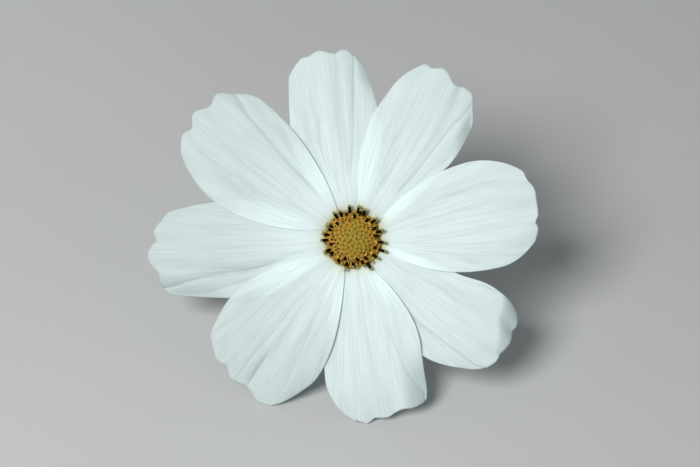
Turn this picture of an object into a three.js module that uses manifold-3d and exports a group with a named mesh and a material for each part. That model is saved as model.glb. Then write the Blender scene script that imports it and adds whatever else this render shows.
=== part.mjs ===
// Cosmos flower, picked with a length of its stalk and laid on a table.
// Millimetres, +Z up. The flower rests on the tips of its two lowest petals and on the stalk,
// which curves down behind it. The face looks up and towards -Y, and the stalk runs towards +Y.
// The origin is on the table, under the middle of the whole flower's bounding box.
import * as THREE from "three";
import { mergeVertices } from "three/addons/utils/BufferGeometryUtils.js";
import Module from "manifold-3d";

const wasm = await Module();
wasm.setup();

// ---------- Driving dimensions ----------

const FACE_TILT = 40; // degrees the face looks up above the horizontal
const FACE_ROLL = 12.3; // degrees the head is turned in its own plane, so that petals 5 and 6 both touch
const BLADE = 0.6; // thickness of petals and bracts
const GAP = 0.3; // clearance between pieces that touch on the plant

const CLAW_HALF_WIDTH = 2.9; // half-width where the claw bends out into the blade
const PETAL_BOTTOM = -3.65;
const PETAL_ARCH = 2.4; // height of the petals' arch over the plane of the head
const ARCH_RADIUS = 24; // where the arch is highest
const LAYER_LIFT = 0.52; // how far a petal's edge is lifted or lowered where it passes its neighbour
const FIRST_AZIMUTH = 97.5; // of petal 1, degrees anticlockwise from the right; the rest follow clockwise

const DISC_RADIUS = 4.6;
const DISC_RIM_HEIGHT = 0.5;
const DISC_CROWN_HEIGHT = 2.0;
const FLORET_COUNT = 84;
const FLORET_PITCH = 1.09; // distance between neighbouring florets
const OPEN_FLORET_FROM = 4.2; // florets farther out than this are open
const OPEN_FLORET_LEAN = 38; // degrees outwards
const BUD_LEAN = 5; // degrees outwards for each millimetre from the axis
const FLORET_ROOT_LIMIT = 4.1; // no floret is rooted farther out than this
const ANTHER_COUNT = 28;
const ANTHER_LENGTH = 2.3;
const ANTHER_RADIUS = 0.42;
const ANTHER_RINGS = [{ radius: 3.7, lean: 22 }, { radius: 4.0, lean: 42 }]; // taken in turn

const BRACT_COUNT = 8;
const INNER_BRACT_REACH = 11.2;
const INNER_BRACT_DEPTH = 1.85; // middle of an inner bract below the petals' arch

// Sections and paths as [radius, height] in the head's frame.
const RECEPTACLE_TOP = PETAL_BOTTOM - GAP;
const RECEPTACLE = [
  [0, -10], [1.2, -10], [1.7, -8.2], [2.4, -7.2], [3.7, -6.3], [5.0, -5.2], [5.4, -4.7],
  [5.4, RECEPTACLE_TOP], [0, RECEPTACLE_TOP],
];
const COLLAR = [[5.35, -5.3], [4.0, -6.5], [4.4, -7.0], [5.75, -5.8]];
const OUTER_BRACT_PATH = [[4.9, -6.15], [6.6, -5.5], [8.6, -5.15], [10.6, -5.3], [12.2, -5.9], [13.5, -6.8]];
const CUP_HEIGHTS = [-4.6, -2.4]; // of the short wall that joins the inner bracts

const STALK_RADIUS = 1.2;
const STALK_START = -8.5; // height in the head's frame where the stalk begins to bend
const STALK_ROOT = 2.5; // how deep the stalk's end is sunk into the receptacle
const STALK_ON_TABLE = 30; // length lying straight on the table
const STALK_SWAY = -12; // how far the stalk's end swings to the right
const STALK_SIDES = 12;

// The upright claw that every petal stands on: [radius, height, half-width].
const CLAW = [
  [5.2, PETAL_BOTTOM, 1.7], [5.2, -2.3, 1.7], [5.32, -1.3, 1.8], [5.8, -0.55, 2.15], [6.6, -0.1, CLAW_HALF_WIDTH],
];

// Each petal, clockwise from the top. length is from the flower's centre. Pairs are [left, right] of
// the petal's axis: width is the greatest half-width, widest the share of the length where it lies,
// tip the width at the tip as a share of it, fall how far the tip's corner falls back and sharp
// how suddenly. lean and bow shift the tip to the left, straight and curved. fill is how slowly the
// claw widens. layer is 1 where an edge lies over the next petal and -1 where it lies under it.
// notches in the tip are [place across the petal from -1 to 1, depth, width], and folds along it are
// [place, depth (a ridge if negative), width]. droop is how far the tip hangs.
const PETALS = [
  {
    length: 40.3, width: [10.0, 8.1], widest: [0.5, 0.52], tip: [0.93, 0.77], fall: [5.3, 6.7],
    sharp: [2.8, 1.8], lean: -0.1, bow: -0.7, fill: 1.0, layer: [-1, -1], droop: 0.6,
    notches: [[-0.03, 2.2, 0.3], [0.49, 1.5, 0.09]],
    folds: [[-0.12, 0.45, 0.12], [0.38, 0.25, 0.12]],
  },
  {
    length: 39.4, width: [11.2, 7.8], widest: [0.64, 0.85], tip: [0.63, 0.79], fall: [2.0, 1.5],
    sharp: [3.0, 1.4], lean: 1.4, bow: 1.9, fill: 0.75, layer: [1, -1], droop: 0.8,
    notches: [[0.71, 1.0, 0.2], [-0.07, 1.6, 0.3], [-0.96, 1.3, 0.09]],
    folds: [[-0.3, 0.5, 0.12], [0.2, -0.35, 0.15]],
  },
  {
    length: 38.5, width: [9.3, 13.4], widest: [0.66, 0.74], tip: [0.53, 0.7], fall: [2.4, 1.7],
    sharp: [1.4, 4.0], lean: 6.7, bow: -2.4, fill: 0.75, layer: [1, 1], droop: 0.4,
    notches: [[-0.61, 0.7, 0.09]],
    folds: [[-0.2, 0.25, 0.12], [0.35, 0.25, 0.14]],
  },
  {
    length: 38.9, width: [9.3, 10.3], widest: [0.83, 0.7], tip: [0.86, 0.74], fall: [3.0, 5.0],
    sharp: [4.0, 3.6], lean: -1.2, bow: 1.6, fill: 1.1, layer: [-1, -1], droop: 1.2,
    notches: [[0.53, 1.3, 0.15], [-0.13, 0.3, 0.13]],
    folds: [[-0.15, 0.5, 0.12], [0.3, -0.3, 0.15]],
  },
  {
    length: 38.8, width: [10.9, 9.3], widest: [0.6, 0.73], tip: [0.95, 0.61], fall: [3.7, 3.4],
    sharp: [2.2, 2.2], lean: -0.2, bow: 0.3, fill: 0.93, layer: [1, -1], droop: 1.0,
    notches: [[-0.05, 1.7, 0.24], [0.46, 2.0, 0.29]],
    folds: [[0.35, 0.5, 0.12], [-0.2, 0.4, 0.12]],
  },
  {
    length: 39.1, width: [10.9, 13.0], widest: [0.85, 0.76], tip: [0.92, 0.95], fall: [9.4, 5.9],
    sharp: [2.9, 2.4], lean: -0.5, bow: 2.5, fill: 0.97, layer: [1, 1], droop: 0.8,
    notches: [[-0.51, 1.4, 0.11], [-0.02, 1.8, 0.3]],
    folds: [[-0.45, 0.5, 0.14], [0.1, 0.45, 0.12]],
  },
  {
    length: 42.4, width: [10.4, 9.1], widest: [0.5, 0.5], tip: [0.95, 0.74], fall: [3.6, 5.2],
    sharp: [2.4, 1.5], lean: -2.1, bow: -1.4, fill: 1.0, layer: [-1, -1], droop: 1.8,
    notches: [[-0.11, 2.0, 0.21], [0.56, 1.2, 0.15]],
    folds: [[0.45, 0.55, 0.14], [-0.2, 0.3, 0.12]],
  },
  {
    length: 41.8, width: [11.5, 10.6], widest: [0.68, 0.83], tip: [0.72, 0.76], fall: [3.4, 4.4],
    sharp: [2.2, 4.0], lean: 0.1, bow: -0.5, fill: 0.86, layer: [1, 1], droop: 0.8,
    notches: [[0.32, 1.6, 0.18], [-0.38, 2.0, 0.25]],
    folds: [[-0.3, 0.45, 0.12], [0.05, 0.4, 0.12], [0.42, 0.45, 0.12]],
  },
];

const MATERIALS = {
  petal: new THREE.MeshStandardMaterial({ color: "#e4eceb", roughness: 0.6, metalness: 0 }),
  disc: new THREE.MeshStandardMaterial({ color: "#d9a41c", roughness: 0.75, metalness: 0 }),
  innerBract: new THREE.MeshStandardMaterial({ color: "#c9cf93", roughness: 0.6, metalness: 0 }),
  green: new THREE.MeshStandardMaterial({ color: "#5d7f3a", roughness: 0.55, metalness: 0 }),
};

// ---------- Small helpers ----------

const radians = THREE.MathUtils.degToRad;
const smooth = THREE.MathUtils.smoothstep;
const GOLDEN_ANGLE = Math.PI * (3 - Math.sqrt(5));
const SPIRAL_STEP = 0.525; // spiral spacing, as a share of the distance between neighbours
const HEAD_AXIS = new THREE.Vector3(0, 0, 1); // out of the face, in the head's own frame

// A closed geometry as a manifold-3d solid, for joining.
function solidOf(geometry) {
  const bare = geometry.clone();
  bare.deleteAttribute("normal");
  bare.deleteAttribute("uv");
  const merged = mergeVertices(bare, 1e-4);
  return new wasm.Manifold(
    new wasm.Mesh({
      numProp: 3,
      vertProperties: merged.getAttribute("position").array,
      triVerts: new Uint32Array(merged.index.array),
    }),
  );
}

function geometryOf(solid) {
  const mesh = solid.getMesh();
  const geometry = new THREE.BufferGeometry();
  geometry.setAttribute("position", new THREE.BufferAttribute(mesh.vertProperties, 3));
  geometry.setIndex(new THREE.BufferAttribute(mesh.triVerts, 1));
  return geometry;
}

// Joins closed geometries into one body. Pockets that the joining seals are filled.
function joined(geometries) {
  const whole = geometries.map(solidOf).reduce((sum, piece) => sum.add(piece));
  const bodies = whole.decompose().sort((a, b) => b.volume() - a.volume());
  return geometryOf(bodies[0]);
}

// A closed thin blade around the middle surface middle(s, t), with s along it at the stations and
// t across it from 1 (left) to -1 (right). Both faces are split into triangles alike.
function blade(middle, stations, columns, thickness) {
  const across = columns + 1;
  const [first, last] = [stations[0], stations[stations.length - 1]];
  const top = [];
  const bottom = [];
  const step = 1e-3;
  for (const s of stations) {
    for (let j = 0; j < across; j++) {
      const t = 1 - (2 * j) / columns;
      const [s0, s1] = [Math.max(s - step, first), Math.min(s + step, last)];
      const [t0, t1] = [Math.max(t - step, -1), Math.min(t + step, 1)];
      const along = middle(s1, t).sub(middle(s0, t));
      const leftwards = middle(s, t1).sub(middle(s, t0));
      const half = along.cross(leftwards).setLength(thickness / 2);
      top.push(middle(s, t).add(half));
      bottom.push(middle(s, t).sub(half));
    }
  }
  const count = top.length;
  const index = [];
  const at = (i, j) => i * across + j;
  for (let i = 0; i < stations.length - 1; i++) {
    for (let j = 0; j < columns; j++) {
      const [a, b, c, d] = [at(i, j), at(i, j + 1), at(i + 1, j + 1), at(i + 1, j)];
      index.push(a, b, c, a, c, d);
      index.push(count + a, count + c, count + b, count + a, count + d, count + c);
    }
  }
  const rim = [];
  for (let j = 0; j < columns; j++) rim.push(at(0, j));
  for (let i = 0; i < stations.length - 1; i++) rim.push(at(i, columns));
  for (let j = columns; j > 0; j--) rim.push(at(stations.length - 1, j));
  for (let i = stations.length - 1; i > 0; i--) rim.push(at(i, 0));
  rim.forEach((a, k) => {
    const b = rim[(k + 1) % rim.length];
    index.push(a, count + a, count + b, a, count + b, b);
  });
  const geometry = new THREE.BufferGeometry();
  const points = [...top, ...bottom].flatMap((p) => [p.x, p.y, p.z]);
  geometry.setAttribute("position", new THREE.Float32BufferAttribute(points, 3));
  geometry.setIndex(index);
  return geometry;
}

// The values at share s of the way through a list of stations, straight between each two.
function alongProfile(profile, s) {
  const place = s * (profile.length - 1);
  const i = Math.min(Math.floor(place), profile.length - 2);
  return profile[i].map((value, k) => THREE.MathUtils.lerp(value, profile[i + 1][k], place - i));
}

// ---------- Petals (head frame: x right, y up in the face, z out of the face) ----------

const [BLADE_START, BLADE_START_HEIGHT] = CLAW[CLAW.length - 1];
const LAYERS_APART = [5.4, 6.7]; // radii between which overlapping edges part
const FOLDS_GROW = [12, 26]; // radii between which the folds deepen
const DROOP_START = 29; // radius where a tip begins to hang
const REFERENCE_BLADE = 32; // length that lean and bow are given for

// Height of the plain arch that all petals follow, outside the claws.
function archHeight(radius) {
  const share = (radius - ARCH_RADIUS) / (ARCH_RADIUS - BLADE_START);
  return PETAL_ARCH - (PETAL_ARCH - BLADE_START_HEIGHT) * share * share;
}

// A bell-shaped bump of height 1 around a place.
function bell(t, place, width) {
  return Math.exp(-(((t - place) / width) ** 2));
}

// Half-width of a petal's side as a share of its greatest, at share s of the blade.
function sideWidth(petal, side, s) {
  const start = CLAW_HALF_WIDTH / petal.width[side];
  const widest = petal.widest[side];
  if (s < widest) return start + (1 - start) * Math.sin((Math.PI / 2) * (s / widest) ** petal.fill);
  return 1 - (1 - petal.tip[side]) * ((s - widest) / (1 - widest)) ** 2;
}

// The plan of a petal: u along its axis from the flower's centre, v to the left of the axis.
// s below 0 is on the claw, down to -1, and from 0 to 1 on the blade.
function petalPlan(petal, side, s, t) {
  if (s < 0) {
    const [radius, , halfWidth] = alongProfile(CLAW, 1 + s);
    return [radius, t * halfWidth];
  }
  let reach = petal.length - petal.fall[side] * Math.abs(t) ** petal.sharp[side];
  for (const [place, depth, width] of petal.notches) reach -= depth * bell(t, place, width) * s ** 6;
  const u = BLADE_START + (reach - BLADE_START) * s;
  const share = (u - BLADE_START) / REFERENCE_BLADE;
  const v = t * petal.width[side] * sideWidth(petal, side, s);
  return [u, v + petal.lean * share + petal.bow * share * share];
}

function petalHeight(petal, side, s, t, radius) {
  let height = s < 0 ? alongProfile(CLAW, 1 + s)[1] : archHeight(radius);
  height += petal.layer[side] * LAYER_LIFT * smooth(Math.abs(t), 0.1, 0.65) * smooth(radius, ...LAYERS_APART);
  for (const [place, depth, width] of petal.folds)
    height -= depth * bell(t, place, width) * smooth(radius, ...FOLDS_GROW);
  return height - petal.droop * Math.max(0, (radius - DROOP_START) / 10) ** 2;
}

function petalPoint(petal, azimuth, s, t) {
  const side = t >= 0 ? 0 : 1;
  const [u, v] = petalPlan(petal, side, s, t);
  const height = petalHeight(petal, side, s, t, Math.hypot(u, v));
  return new THREE.Vector3(u, v, height).applyAxisAngle(HEAD_AXIS, azimuth);
}

const BLADE_ROWS = 13;
const PETAL_COLUMNS = 10;
const PETAL_STATIONS = [
  ...CLAW.slice(0, -1).map((_, k) => k / (CLAW.length - 1) - 1),
  ...Array.from({ length: BLADE_ROWS + 1 }, (_, k) => k / BLADE_ROWS),
];

function petalGeometry(petal, k) {
  const azimuth = radians(FIRST_AZIMUTH) - (k * 2 * Math.PI) / PETALS.length;
  return blade((s, t) => petalPoint(petal, azimuth, s, t), PETAL_STATIONS, PETAL_COLUMNS, BLADE);
}

// ---------- Disc ----------

function discHeight(radius) {
  return DISC_CROWN_HEIGHT - (DISC_CROWN_HEIGHT - DISC_RIM_HEIGHT) * (radius / DISC_RADIUS) ** 2;
}

// A closed solid of revolution about z from [radius, height] points that start and end at r = 0.
function turned(profile, sides) {
  return new THREE.LatheGeometry(profile.map(([r, z]) => new THREE.Vector2(r, z)), sides).rotateX(Math.PI / 2);
}

// Stands a piece made along +z on the disc, at a radius and azimuth, leaning outwards.
function stand(geometry, radius, azimuth, height, lean) {
  geometry.rotateY(lean);
  geometry.translate(radius, 0, height);
  return geometry.rotateZ(azimuth);
}

const BUD = [[0, -1.0], [0.4, -0.6], [0.52, 0.35], [0, 1.0]]; // [radius, height over the disc]
const OPEN_FLORET = [[0, -1.2], [0.32, -1.0], [0.36, 0.5], [0.62, 1.25], [0, 0.95]];
const ANTHER_TUBE = [
  [0, -1.6], [ANTHER_RADIUS * 0.8, -1.4], [ANTHER_RADIUS, ANTHER_LENGTH * 0.7], [0, ANTHER_LENGTH],
];

function discGeometry() {
  const rim = [1, 0.7, 0.35].map((k) => [DISC_RADIUS * k, discHeight(DISC_RADIUS * k)]);
  const pieces = [turned([[0, PETAL_BOTTOM], [DISC_RADIUS, PETAL_BOTTOM], ...rim, [0, DISC_CROWN_HEIGHT]], 20)];
  for (let k = 0; k < FLORET_COUNT; k++) {
    const radius = SPIRAL_STEP * FLORET_PITCH * Math.sqrt(k + 0.5);
    const isOpen = radius > OPEN_FLORET_FROM;
    const root = Math.min(radius, FLORET_ROOT_LIMIT);
    const lean = radians(isOpen ? OPEN_FLORET_LEAN : BUD_LEAN * root);
    pieces.push(stand(turned(isOpen ? OPEN_FLORET : BUD, 5), root, k * GOLDEN_ANGLE, discHeight(root), lean));
  }
  for (let k = 0; k < ANTHER_COUNT; k++) {
    const { radius, lean } = ANTHER_RINGS[k % 2];
    const azimuth = (k * 2 * Math.PI) / ANTHER_COUNT;
    pieces.push(stand(turned(ANTHER_TUBE, 5), radius, azimuth, discHeight(radius), radians(lean)));
  }
  return joined(pieces);
}

// ---------- Bracts ----------

// One bract: a blade that follows a [radius, height] profile, with its half-width by a function.
function bract(profile, halfWidthAt, azimuth, rows, columns, dish) {
  const middle = (s, t) => {
    const [r, z] = alongProfile(profile, s);
    const v = t * halfWidthAt(s);
    return new THREE.Vector3(r, v, z + dish * t * t).applyAxisAngle(HEAD_AXIS, azimuth);
  };
  const stations = Array.from({ length: rows + 1 }, (_, k) => k / rows);
  return blade(middle, stations, columns, BLADE);
}

function ring(section, sides) {
  return turned([...section, section[0]], sides);
}

function innerBractsGeometry() {
  const wall = CLAW[0][0] + BLADE / 2 + GAP;
  const [foot, lip] = CUP_HEIGHTS;
  const cup = ring([[wall, foot], [wall + BLADE, foot], [wall + BLADE, lip], [wall, lip]], 24);
  const middle = wall + BLADE / 2;
  const under = (radius) => [radius, archHeight(radius) - INNER_BRACT_DEPTH];
  const path = [
    [middle, foot + 0.7], [middle + 0.02, lip - 0.5], [middle + 0.35, lip + 0.25],
    ...[7.3, 8.6, 9.9, INNER_BRACT_REACH].map(under),
  ];
  const halfWidth = (s) => 1.5 + Math.sin(Math.PI * Math.min(s, 0.5)) - 4.2 * Math.max(0, s - 0.5) ** 1.5;
  const blades = Array.from({ length: BRACT_COUNT }, (_, k) =>
    bract(path, halfWidth, ((k + 0.5) * 2 * Math.PI) / BRACT_COUNT, 6, 2, 0.1),
  );
  return joined([cup, ...blades]);
}

function outerBractsGeometry() {
  const halfWidth = (s) => 0.85 + 0.15 * Math.sin(Math.PI * s) - 0.55 * Math.max(0, s - 0.35) ** 1.2;
  const blades = Array.from({ length: BRACT_COUNT }, (_, k) =>
    bract(OUTER_BRACT_PATH, halfWidth, (k * 2 * Math.PI) / BRACT_COUNT, 6, 2, 0.15),
  );
  return joined([ring(COLLAR, 24), ...blades]);
}

// ---------- Head frame, receptacle and stalk ----------

const faceTilt = radians(FACE_TILT);
const right = new THREE.Vector3(1, 0, 0);
const faceUp = new THREE.Vector3(0, Math.sin(faceTilt), Math.cos(faceTilt));
const outward = new THREE.Vector3(0, -Math.cos(faceTilt), Math.sin(faceTilt));
const headTurn = new THREE.Matrix4()
  .makeBasis(right, faceUp, outward)
  .multiply(new THREE.Matrix4().makeRotationZ(radians(FACE_ROLL)));

function lowest(geometry) {
  geometry.computeBoundingBox();
  return geometry.boundingBox.min.z;
}

const petalGeometries = PETALS.map((petal, k) => petalGeometry(petal, k).applyMatrix4(headTurn));
const headHeight = -Math.min(...petalGeometries.map(lowest));

// The stalk: from the receptacle it bends through the face's tilt to the level, then lies on the table.
function stalkCurve() {
  const start = outward.clone().multiplyScalar(STALK_START);
  const restHeight = STALK_RADIUS * Math.cos(Math.PI / STALK_SIDES) - headHeight;
  const bend = (start.z - restHeight) / (1 - Math.cos(faceTilt));
  const points = [outward.clone().multiplyScalar(STALK_START + STALK_ROOT), start];
  const total = bend * Math.sin(faceTilt) + STALK_ON_TABLE;
  const sway = (y) => STALK_SWAY * ((y - start.y) / total) ** 2;
  for (let k = 1; k <= 12; k++) {
    const angle = faceTilt * (1 - k / 12);
    const y = start.y + bend * (Math.sin(faceTilt) - Math.sin(angle));
    points.push(new THREE.Vector3(sway(y), y, restHeight + bend * (1 - Math.cos(angle))));
  }
  for (let k = 1; k <= 6; k++) {
    const y = start.y + bend * Math.sin(faceTilt) + (STALK_ON_TABLE * k) / 6;
    points.push(new THREE.Vector3(sway(y), y, restHeight));
  }
  return new THREE.CatmullRomCurve3(points);
}

function stemGeometry() {
  const receptacle = turned(RECEPTACLE, 20).applyMatrix4(headTurn);
  const section = new THREE.Shape(
    Array.from({ length: STALK_SIDES }, (_, k) => {
      const angle = ((k + 0.5) * 2 * Math.PI) / STALK_SIDES;
      return new THREE.Vector2(STALK_RADIUS * Math.cos(angle), STALK_RADIUS * Math.sin(angle));
    }),
  );
  const stalk = new THREE.ExtrudeGeometry(section, { steps: 26, extrudePath: stalkCurve(), bevelEnabled: false });
  return joined([receptacle, stalk]);
}

// ---------- Assembly ----------

function named(name, geometry, material) {
  const mesh = new THREE.Mesh(geometry, material);
  mesh.name = name;
  return mesh;
}

const head = new THREE.Group();
head.add(
  ...petalGeometries.map((geometry, k) => named(`petal_${k + 1}`, geometry, MATERIALS.petal)),
  named("disc", discGeometry().applyMatrix4(headTurn), MATERIALS.disc),
  named("inner_bracts", innerBractsGeometry().applyMatrix4(headTurn), MATERIALS.innerBract),
  named("outer_bracts", outerBractsGeometry().applyMatrix4(headTurn), MATERIALS.green),
  named("stem", stemGeometry(), MATERIALS.green),
);
const box = new THREE.Box3().setFromObject(head);
head.position.set(-(box.min.x + box.max.x) / 2, -(box.min.y + box.max.y) / 2, headHeight);

const flower = new THREE.Group();
flower.add(head);

export default flower;
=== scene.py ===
# %% [markdown]
# # A white cosmos flower, picked and laid on a table
#
# The flower is one head on a bare stalk. Eight thin ray petals stand round a yellow disc of small
# florets, two rows of bracts hold the petals from behind, and the stalk curves down to the table.
# The solid model gives every piece its place and size. This script makes the fine surfaces that
# stand for those solids: thin veined petals, single florets, dark anther tubes, leafy bracts.

# %% Load the solid model and keep its box
import math
import random

import bmesh
import bpy
from mathutils import Matrix, Vector, noise
from mathutils.bvhtree import BVHTree


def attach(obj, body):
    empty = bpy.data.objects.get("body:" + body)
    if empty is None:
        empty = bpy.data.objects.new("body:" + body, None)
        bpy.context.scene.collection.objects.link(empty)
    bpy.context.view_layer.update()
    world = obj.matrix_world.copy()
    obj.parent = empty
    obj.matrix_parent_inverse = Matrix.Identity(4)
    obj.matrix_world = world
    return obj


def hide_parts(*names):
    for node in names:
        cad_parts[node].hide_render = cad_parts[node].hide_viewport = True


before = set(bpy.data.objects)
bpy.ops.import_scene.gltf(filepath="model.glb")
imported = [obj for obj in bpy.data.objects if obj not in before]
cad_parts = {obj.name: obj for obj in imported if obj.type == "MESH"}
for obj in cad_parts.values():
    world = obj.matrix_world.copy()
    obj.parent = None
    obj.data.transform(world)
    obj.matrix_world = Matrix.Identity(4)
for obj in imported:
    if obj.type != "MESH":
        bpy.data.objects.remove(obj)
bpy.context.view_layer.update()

# %% [markdown]
# ## Units and small helpers
#
# All sizes below are written in millimetres, as a gardener would measure them, and one function
# turns them to Blender's metres. Colours are written as the sRGB hex values of a paint chart, so
# one function turns them to the linear values that shaders work in.

# %% Helpers for sizes and colours
MM = 0.001


def linear(hex_colour):
    """An sRGB hex colour as linear RGBA."""
    channels = [int(hex_colour[k:k + 2], 16) / 255 for k in (1, 3, 5)]
    return tuple(
        c / 12.92 if c <= 0.04045 else ((c + 0.055) / 1.055) ** 2.4 for c in channels
    ) + (1.0,)


def smooth(x, low, high):
    """0 below low, 1 above high, and an even S-curve between them."""
    share = min(max((x - low) / (high - low), 0.0), 1.0)
    return share * share * (3 - 2 * share)


def bell(x, place, width):
    """1 at its place, and down to nearly 0 at twice its width from there."""
    return math.exp(-(((x - place) / width) ** 2))


def along(stations, share):
    """The values at share 0 to 1 of the way through a list of stations, rounded at each station.
    The stations count as evenly spaced."""
    place = min(max(share, 0.0), 1.0) * (len(stations) - 1)
    k = min(int(place), len(stations) - 2)
    before, after = stations[max(k - 1, 0)], stations[min(k + 2, len(stations) - 1)]
    f = place - k
    return [
        b + 0.5 * f * (c - a + f * (2 * a - 5 * b + 4 * c - d + f * (3 * (b - c) + d - a)))
        for a, b, c, d in zip(before, stations[k], stations[k + 1], after)
    ]


# %% [markdown]
# ## Where the head is
#
# Every piece of the head is made in the head's own frame: x to the right, y up in the face, z out
# of the face. The face looks up 40 degrees, and the head is rolled a little in its own plane so
# that two petals touch the table. The centre comes from the solid disc: its flat base is a known
# distance behind the petals' plane, so the middle of that base gives the head's centre. An empty
# that everything is parented to would do the same, but then each mesh would sit away from the
# origin, so one matrix moves the points instead.

# %% The head's frame
FACE_TILT = math.radians(40)
FACE_ROLL = math.radians(12.3)
PETAL_BOTTOM = -3.65  # mm, where claws and disc stand on the receptacle
BASE_FLATNESS = 0.02  # mm, how near the lowest point the other points of the base lie

outward = Vector((0, -math.cos(FACE_TILT), math.sin(FACE_TILT)))
face_up = Vector((0, math.sin(FACE_TILT), math.cos(FACE_TILT)))
face_turn = Matrix((Vector((1, 0, 0)), face_up, outward)).transposed()
face_turn @= Matrix.Rotation(FACE_ROLL, 3, "Z")

disc_points = {tuple(round(c, 6) for c in v.co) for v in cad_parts["disc"].data.vertices}
depths = {point: Vector(point).dot(outward) for point in disc_points}
base_depth = min(depths.values())
base = [Vector(point) for point, depth in depths.items() if depth < base_depth + BASE_FLATNESS * MM]
base_middle = Vector([(min(p[k] for p in base) + max(p[k] for p in base)) / 2 for k in range(3)])
head_centre = base_middle - outward * (PETAL_BOTTOM * MM)
head = Matrix.Translation(head_centre) @ face_turn.to_4x4() @ Matrix.Scale(MM, 4)
print("head centre, mm:", [round(1000 * c, 2) for c in head_centre])

# %% [markdown]
# ## From bmesh to a finished piece
#
# Each piece is modelled in millimetres in the head's frame and is then moved to its place inside
# its own mesh, so the object itself stays at the origin. `finish_piece` does that, shades the
# surface smooth, and hides the solid that the piece stands for. Thin pieces are made as one surface,
# and the Solidify modifier gives them their thickness.

# %% Finish a piece
def finish_piece(name, bm, place, material, nodes, thickness=0.0):
    """Makes a piece of a bmesh in mm, with a thickness where it is a thin sheet."""
    bmesh.ops.transform(bm, matrix=place, verts=bm.verts)
    mesh = bpy.data.meshes.new(name)
    bm.to_mesh(mesh)
    bm.free()
    mesh.polygons.foreach_set("use_smooth", [True] * len(mesh.polygons))
    mesh.materials.append(material)
    piece = bpy.data.objects.new(name, mesh)
    bpy.context.scene.collection.objects.link(piece)
    if thickness:
        solidify = piece.modifiers.new("thickness", "SOLIDIFY")
        solidify.thickness = thickness * MM
        solidify.offset = 0
    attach(piece, "root")
    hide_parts(*nodes)
    print(name, len(mesh.polygons), "faces")


# %% A grid bent to a surface
def sheet(columns, rows, point):
    """A grid whose vertices go to point(share along from 0 to 1, side from 1 left to -1 right). Its
    UV map has u across and v along."""
    bm = bmesh.new()
    bm.loops.layers.uv.new("UVMap")
    bmesh.ops.create_grid(bm, x_segments=columns, y_segments=rows, size=1.0, calc_uvs=True)
    for vertex in bm.verts:
        vertex.co = point((vertex.co.y + 1) / 2, -vertex.co.x)
    return bm


# %% [markdown]
# ## The petals' shape
#
# A cosmos ray petal is a long tongue that stands on a narrow upright claw, bends out over the rim
# of the head, widens, and ends in shallow teeth. It could be sculpted or drawn as a curve outline
# and filled, but neither gives veins that run with the petal. So a flat grid is bent by a formula
# in the petal's own coordinates, along (s) and across (t). No two petals of a bloom are alike, so
# each has its own row of sizes.

# %% The claw, the arch and where the petals stand
CLAW_HALF_WIDTH = 2.9  # mm, where the claw bends out into the blade
CLAW = [  # radius, height, half-width
    (5.2, PETAL_BOTTOM, 1.7), (5.2, -2.1, 1.7), (5.26, -1.0, 1.85), (5.6, -0.2, 2.3),
    (6.6, 0.15, CLAW_HALF_WIDTH),
]  # mm
BLADE_START, BLADE_START_HEIGHT = CLAW[-1][:2]
PETAL_ARCH, ARCH_RADIUS = 2.1, 24  # mm, height of the arch over the head's plane, and where it is
FIRST_AZIMUTH, PETAL_STEP = 97.5, 45  # degrees, of petal 1, and from each petal on to the next

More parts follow.
